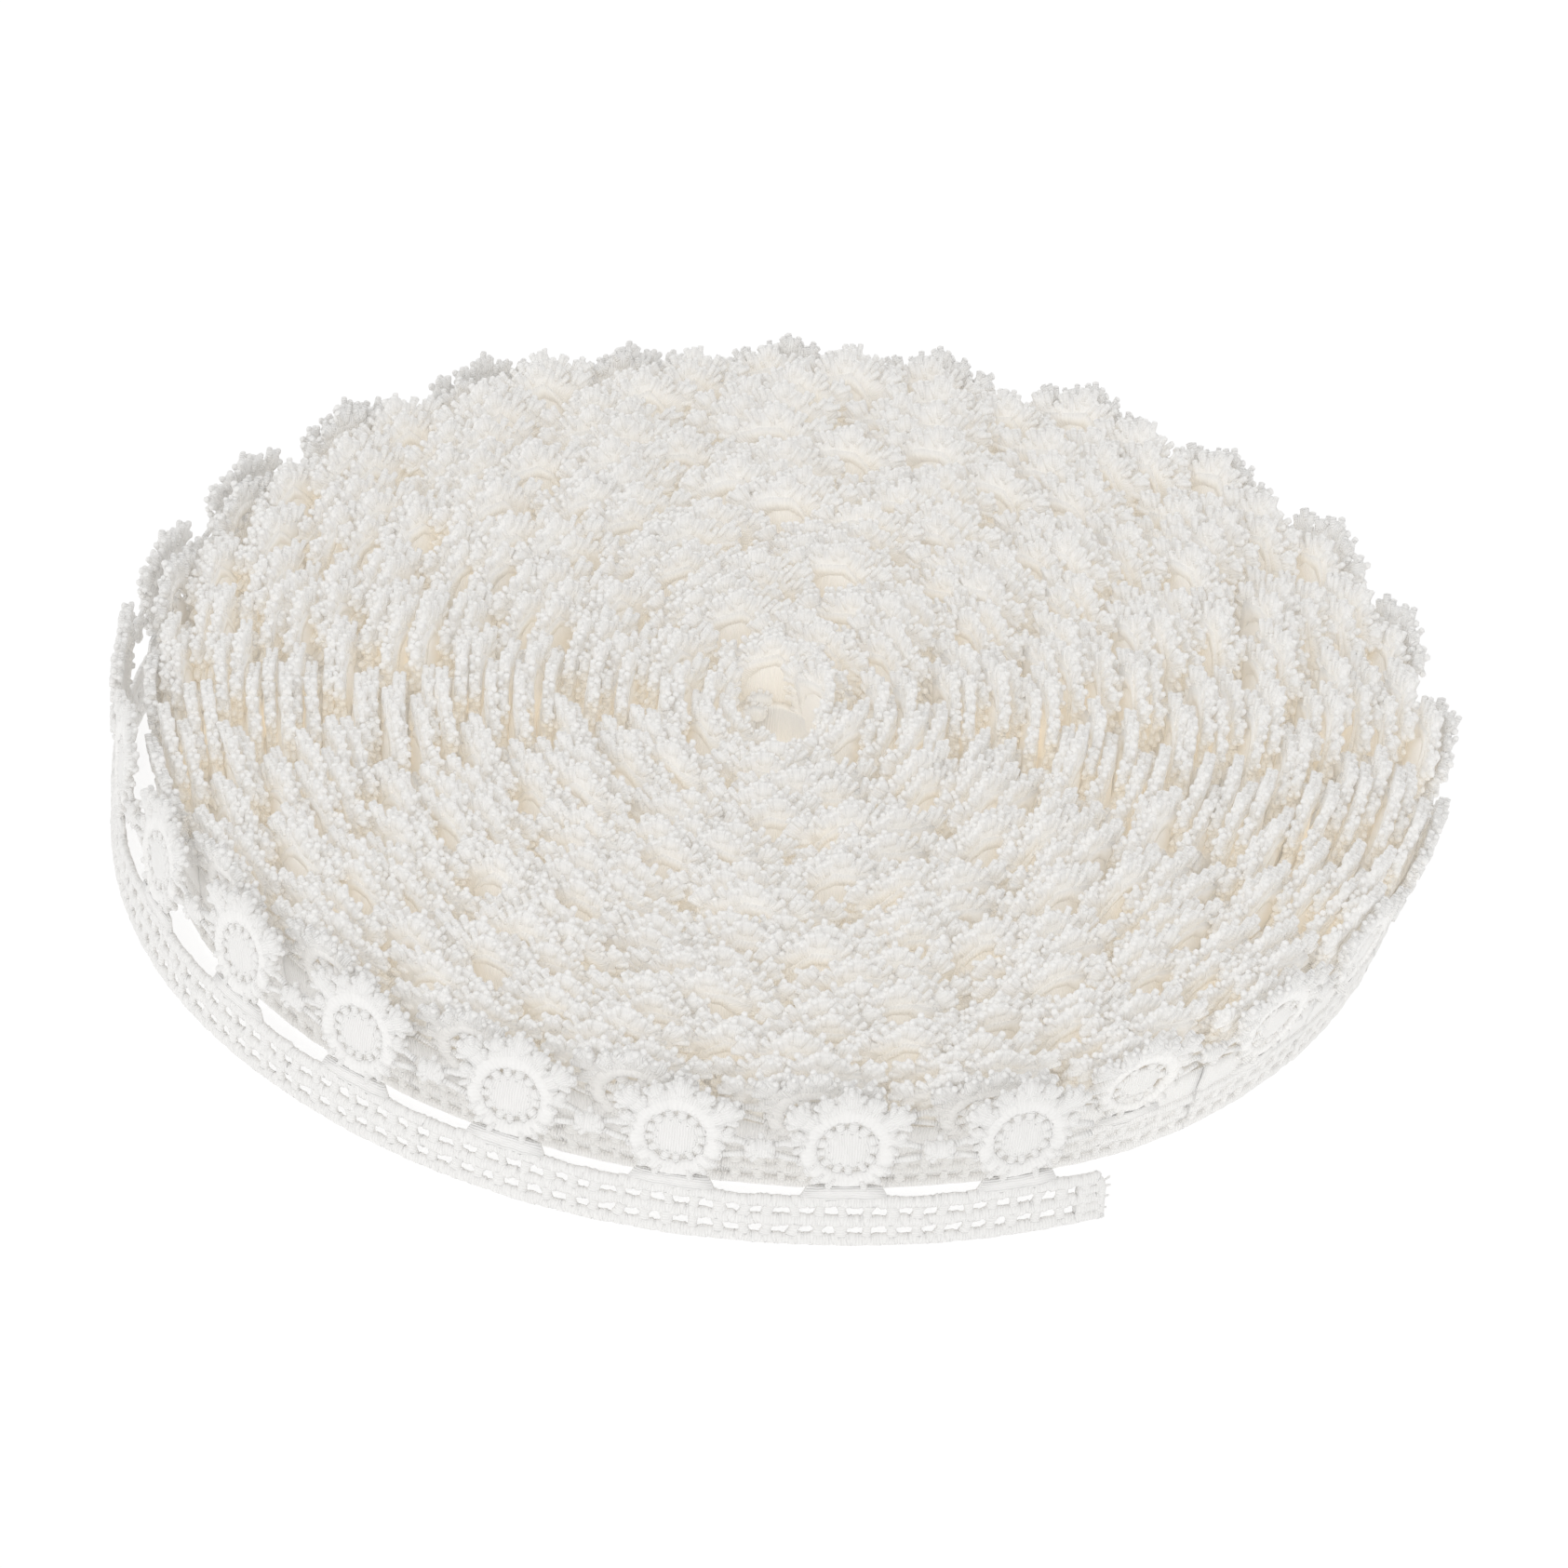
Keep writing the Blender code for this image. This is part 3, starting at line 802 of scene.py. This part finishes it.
# ---- properties
class LaceTrimSettings(bpy.types.PropertyGroup):
    """Sizes and colours of the trim and its winding."""

    width: bpy.props.FloatProperty(
        name="Trim Width", description="From the heading's foot to the tips of the crown edge",
        default=18.1 * MM, min=5 * MM, max=60 * MM, unit="LENGTH")
    repeat: bpy.props.FloatProperty(
        name="Repeat", description="Length of one medallion and its share of the heading",
        default=16.55 * MM, min=5 * MM, max=60 * MM, unit="LENGTH")
    heading: bpy.props.FloatProperty(
        name="Heading", description="Height of the ladder heading",
        default=5.7 * MM, min=1 * MM, max=20 * MM, unit="LENGTH")
    medallion: bpy.props.FloatProperty(
        name="Medallion", description="Radius of the round medallion",
        default=4.55 * MM, min=1 * MM, max=20 * MM, unit="LENGTH")
    depth: bpy.props.FloatProperty(
        name="Depth", description="Thickness of the crown's stitched balls",
        default=1.2 * MM, min=0.2 * MM, max=5 * MM, unit="LENGTH")
    layer: bpy.props.FloatProperty(
        name="Layer", description="How far each turn of the roll lies outside the one before",
        default=1.54 * MM, min=0.8 * MM, max=5 * MM, unit="LENGTH")
    eye: bpy.props.FloatProperty(
        name="Eye", description="Radius that the winding starts from",
        default=1.3 * MM, min=0.5 * MM, max=20 * MM, unit="LENGTH")
    eye_shift: bpy.props.FloatProperty(
        name="Eye Shift", description="How far the eye lies to the left of the roll's middle",
        default=2.6 * MM, min=0.0, max=10 * MM, unit="LENGTH")
    guide_level: bpy.props.FloatProperty(
        name="True Level", description="Share of the width where the lace keeps its own length",
        default=0.6, min=0.0, max=1.0, subtype="FACTOR")
    fuzz: bpy.props.FloatProperty(
        name="Fuzz", description="How far stitching wanders from its pattern",
        default=0.10 * MM, min=0.0, max=1 * MM, unit="LENGTH")
    rise: bpy.props.FloatProperty(
        name="Uneven Rise", description="How much higher or lower one medallion stands than the next",
        default=1.0 * MM, min=0.0, max=3 * MM, unit="LENGTH")
    lean: bpy.props.FloatProperty(
        name="Uneven Lean", description="How far one crown leans out of the turn",
        default=0.45 * MM, min=0.0, max=3 * MM, unit="LENGTH")
    slide: bpy.props.FloatProperty(
        name="Uneven Slide", description="How far one crown is dragged along the turn",
        default=0.7 * MM, min=0.0, max=3 * MM, unit="LENGTH")
    back_rise: bpy.props.FloatProperty(
        name="Back Rise", description="How much higher the turns stand at the back of the roll",
        default=1.6 * MM, min=0.0, max=5 * MM, unit="LENGTH")
    sway: bpy.props.FloatProperty(
        name="Sway", description="Slow waviness of the crown edge across the turn",
        default=0.4 * MM, min=0.0, max=3 * MM, unit="LENGTH")
    white: bpy.props.FloatVectorProperty(
        name="White", description="Thread where it shows", subtype="COLOR", size=3, min=0.0, max=1.0,
        default=(0.965, 0.955, 0.94))
    shade: bpy.props.FloatVectorProperty(
        name="Shade", description="The duller threads among the white ones", subtype="COLOR", size=3,
        min=0.0, max=1.0, default=(0.93, 0.92, 0.90))
    # painted shade: the warm colour painted on thread deep between the turns, in place of the shade there
    painted_shade: bpy.props.FloatVectorProperty(
        name="Painted Shade", description="Thread deep between the turns", subtype="COLOR", size=3,
        min=0.0, max=1.0, default=(0.95, 0.925, 0.88))
    # painted glow: amber and glow set an emission that stands in for light coming through the lace from
    # turn to turn
    amber: bpy.props.FloatVectorProperty(
        name="Amber", description="Light that comes through the lace from turn to turn", subtype="COLOR",
        size=3, min=0.0, max=1.0, default=(1.0, 0.93, 0.82))
    glow: bpy.props.FloatProperty(
        name="Glow", description="Strength of the light that comes through the lace",
        default=0.092, min=0.0)


class LaceStageSettings(bpy.types.PropertyGroup):
    """Camera and light."""

    elevation: bpy.props.FloatProperty(
        name="Elevation", description="The camera's height above the horizon", subtype="ANGLE",
        default=math.radians(34.2))
    roll: bpy.props.FloatProperty(
        name="Roll", description="How far the view is turned clockwise", subtype="ANGLE",
        default=math.radians(5.2))
    distance: bpy.props.FloatProperty(
        name="Distance", description="From the camera to the roll's middle", default=0.829, unit="LENGTH")
    lens: bpy.props.FloatProperty(
        name="Lens", description="Focal length on a 36 mm sensor", default=189.5)
    aim_right: bpy.props.FloatProperty(
        name="Aim Right", description="How far right of the roll's middle the view's centre is",
        default=-0.76 * MM, unit="LENGTH")
    aim_up: bpy.props.FloatProperty(
        name="Aim Up", description="How far above the roll's middle the view's centre is",
        default=-2.80 * MM, unit="LENGTH")
    sky: bpy.props.FloatProperty(
        name="Sky", description="Strength of the even light from all round", default=0.83, min=0.0)
    key: bpy.props.FloatProperty(
        name="Key", description="Power of the large lamp over the front", default=1.35, min=0.0,
        subtype="POWER")


# ---- operators
def coil_values(guide, repeats, start, finish, sink, seed):
    """The tree's inputs for one stretch of the winding."""
    sizes = lace()
    return {
        "Winding Line": guide, "Repeats": repeats, "Start": start, "Repeat Length": sizes.repeat,
        "Trim Width": sizes.width, "Line Level": sizes.guide_level, "Fuzz": sizes.fuzz, "Shade Depth": sink,
        "Uneven Rise": sizes.rise, "Uneven Lean": sizes.lean, "Uneven Slide": sizes.slide,
        "Sway": sizes.sway, "Seed": seed, "Finish": finish,
    }


def stretches():
    """Where each group of repeats starts: the whole line counted back from the cut end."""
    sizes = lace()
    guide, length, leave = build_guide()
    last = length - CUT_SHARE * sizes.repeat
    total = int((last - sizes.repeat) / sizes.repeat)
    free = int((last - leave) / sizes.repeat) + 1
    outer = int(2.0 * math.pi * OUTER_RADIUS / sizes.repeat) + 1
    return guide, last, total, free, outer


class LACE_OT_loose_turn(bpy.types.Operator):
    """Stitch the loose outermost turn"""
    bl_idname = "lace.loose_turn"
    bl_label = "Loose Turn"

    def execute(self, context):
        sizes = lace()
        guide, last, _, free, _ = stretches()
        repeat, edge = stitch_repeat("flat_repeat", FINE, 11)
        start = last - sizes.repeat * (free - 1)
        # painted shade: the loose turn is dimmed by 0.055 and gets 0.15 of the painted shade and glow
        finish = thread_finish("bleached_thread_loose", 0.62, 0.055, 0.7)
        values = coil_values(guide, free, start, finish, 0.15, 3)
        tree = coil_tree()
        piece = grow("loose_lace_turn", repeat, tree, values)
        picots = grow("loose_lace_picots", edge, tree, values)
        end = stitch_cut_end()
        values.update({"Repeats": 1, "Start": last})
        together(piece, grow("cut_end_turn", end, tree, values))
        for spare in (repeat, edge, end, guide):
            drop(spare)
        for each in (piece, picots):
            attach(each, "root")
            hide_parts(LOOSE)
        return {"FINISHED"}


class LACE_OT_outer_turn(bpy.types.Operator):
    """Stitch the outermost wound turn, whose face shows on the roll's side"""
    bl_idname = "lace.outer_turn"
    bl_label = "Outer Wound Turn"

    def execute(self, context):
        sizes = lace()
        guide, last, _, free, outer = stretches()
        repeat = together(*stitch_repeat("flat_repeat", NEAR, 12))
        start = last - sizes.repeat * (free + outer - 1)
        # painted shade: the outer wound turn is dimmed by 0.015 and gets 0.45 of the painted shade and glow
        finish = thread_finish("bleached_thread_outer", 0.66, 0.015, 0.8)
        values = coil_values(guide, outer, start, finish, 0.45, 5)
        piece = grow("outer_wound_turn", repeat, coil_tree(), values)
        drop(repeat)
        drop(guide)
        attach(piece, "root")
        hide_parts(ROLL)
        return {"FINISHED"}


class LACE_OT_wound_turns(bpy.types.Operator):
    """Stitch the wound turns inside, in bands from the eye outwards"""
    bl_idname = "lace.wound_turns"
    bl_label = "Wound Turns"

    def execute(self, context):
        sizes = lace()
        guide, last, total, free, outer = stretches()
        # painted shade: the wound turns are not dimmed and get the full painted shade and glow
        finish = thread_finish("bleached_thread_wound", 0.66, 0.0, 0.45)
        inner = total - free - outer
        left = inner
        for band in range(BANDS):
            count = math.ceil(left / (BANDS - band))
            left -= count
            detail = DEEP if band else DEEP._replace(cord_rows=6)
            repeat = together(*stitch_repeat("flat_repeat", detail, 21 + band))
            first = total - 1 - (inner - left - count)
            start = last - sizes.repeat * first
            values = coil_values(guide, count, start, finish, 1.0, 31 + band)
            piece = grow(f"wound_turns_{band + 1}", repeat, coil_tree(), values)
            drop(repeat)
            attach(piece, "root")
            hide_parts(ROLL)
        drop(guide)
        return {"FINISHED"}


def aim(holder, place, target, roll=0.0):
    """Turns an object at a place so that its -Z looks at a target, with a roll about that line."""
    look = (Vector(target) - Vector(place)).to_track_quat("-Z", "Y").to_matrix().to_4x4()
    holder.matrix_world = Matrix.Translation(place) @ look @ Matrix.Rotation(roll, 4, "Z")


def lamp(name, place, target, size, power, colour):
    """A square softbox."""
    light = bpy.data.lights.new(name, "AREA")
    light.size = size
    light.energy = power
    light.color = colour
    holder = bpy.data.objects.new(name, light)
    bpy.context.collection.objects.link(holder)
    aim(holder, place, target)


class LACE_OT_stage(bpy.types.Operator):
    """Set the pale floor, the soft light and the camera"""
    bl_idname = "lace.stage"
    bl_label = "Stage"

    def execute(self, context):
        scene = bpy.context.scene
        stage = scene.lace_stage
        floor_mesh = bpy.data.meshes.new("pale_floor")
        reach = 4.0
        corners = [(x * reach, y * reach, 0.0) for x, y in ((-1, -1), (1, -1), (1, 1), (-1, 1))]
        floor_mesh.from_pydata(corners, [], [(0, 1, 2, 3)])
        floor = bpy.data.objects.new("pale_floor", floor_mesh)
        bpy.context.collection.objects.link(floor)
        paper = bpy.data.materials.new("pale_floor")
        paper.use_nodes = True
        Bench(paper.node_tree).fill(paper.node_tree.nodes["Principled BSDF"], {
            "Base Color": (0.35, 0.35, 0.35, 1.0),
            "Roughness": 0.9,
            "Specular IOR Level": 0.1,
            "Emission Color": (1.0, 1.0, 1.0, 1.0),
            "Emission Strength": 0.72,
        })
        floor_mesh.materials.append(paper)

        world = bpy.data.worlds.new("studio")
        world.use_nodes = True
        Bench(world.node_tree).fill(world.node_tree.nodes["Background"], {
            "Color": (1.0, 1.0, 1.0, 1.0),
            "Strength": stage.sky,
        })
        scene.world = world
        middle = Vector((0.0, 0.0, 9.0 * MM))
        lamp("key_softbox", (-0.15, -1.0, 0.60), middle, 0.6, stage.key, (1.0, 0.995, 0.98))
        lamp("side_softbox", (-0.85, -0.25, 0.45), middle, 0.5, stage.key * 0.35, (1.0, 1.0, 1.0))

        lens = bpy.data.cameras.new("camera")
        lens.sensor_width = 36.0
        lens.lens = stage.lens
        lens.clip_start = 0.05
        camera = bpy.data.objects.new("camera", lens)
        bpy.context.collection.objects.link(camera)
        back = Vector((0.0, -math.cos(stage.elevation), math.sin(stage.elevation)))
        place = middle + back * stage.distance
        aim(camera, place, middle, stage.roll)
        right = camera.matrix_world.col[0].xyz
        up = camera.matrix_world.col[1].xyz
        aim(camera, place, middle + right * stage.aim_right + up * stage.aim_up, stage.roll)
        scene.camera = camera
        scene.view_settings.view_transform = "Standard"
        scene.cycles.max_bounces = 16
        scene.cycles.diffuse_bounces = 14
        return {"FINISHED"}


class LACE_PT_panel(bpy.types.Panel):
    """The steps in order"""
    bl_label = "Roll of Lace Trim"
    bl_idname = "LACE_PT_panel"
    bl_space_type = "VIEW_3D"
    bl_region_type = "UI"
    bl_category = "Lace"

    def draw(self, context):
        column = self.layout.column()
        for step in STEPS:
            column.operator(step.bl_idname)
        for settings in (context.scene.lace_trim, context.scene.lace_stage):
            for name in settings.bl_rna.properties.keys():
                if name not in ("rna_type", "name"):
                    column.prop(settings, name)


STEPS = (LACE_OT_outer_turn, LACE_OT_wound_turns, LACE_OT_loose_turn, LACE_OT_stage)
CLASSES = (LaceTrimSettings, LaceStageSettings, *STEPS, LACE_PT_panel)


def register():
    for each in CLASSES:
        bpy.utils.register_class(each)
    bpy.types.Scene.lace_trim = bpy.props.PointerProperty(type=LaceTrimSettings)
    bpy.types.Scene.lace_stage = bpy.props.PointerProperty(type=LaceStageSettings)


def unregister():
    del bpy.types.Scene.lace_stage
    del bpy.types.Scene.lace_trim
    for each in reversed(CLASSES):
        bpy.utils.unregister_class(each)


def main():
    """Makes everything in order."""
    register()
    bpy.ops.lace.outer_turn()
    bpy.ops.lace.wound_turns()
    bpy.ops.lace.loose_turn()
    bpy.ops.lace.stage()
    bpy.context.view_layer.update()


if __name__ == "__main__":
    main()
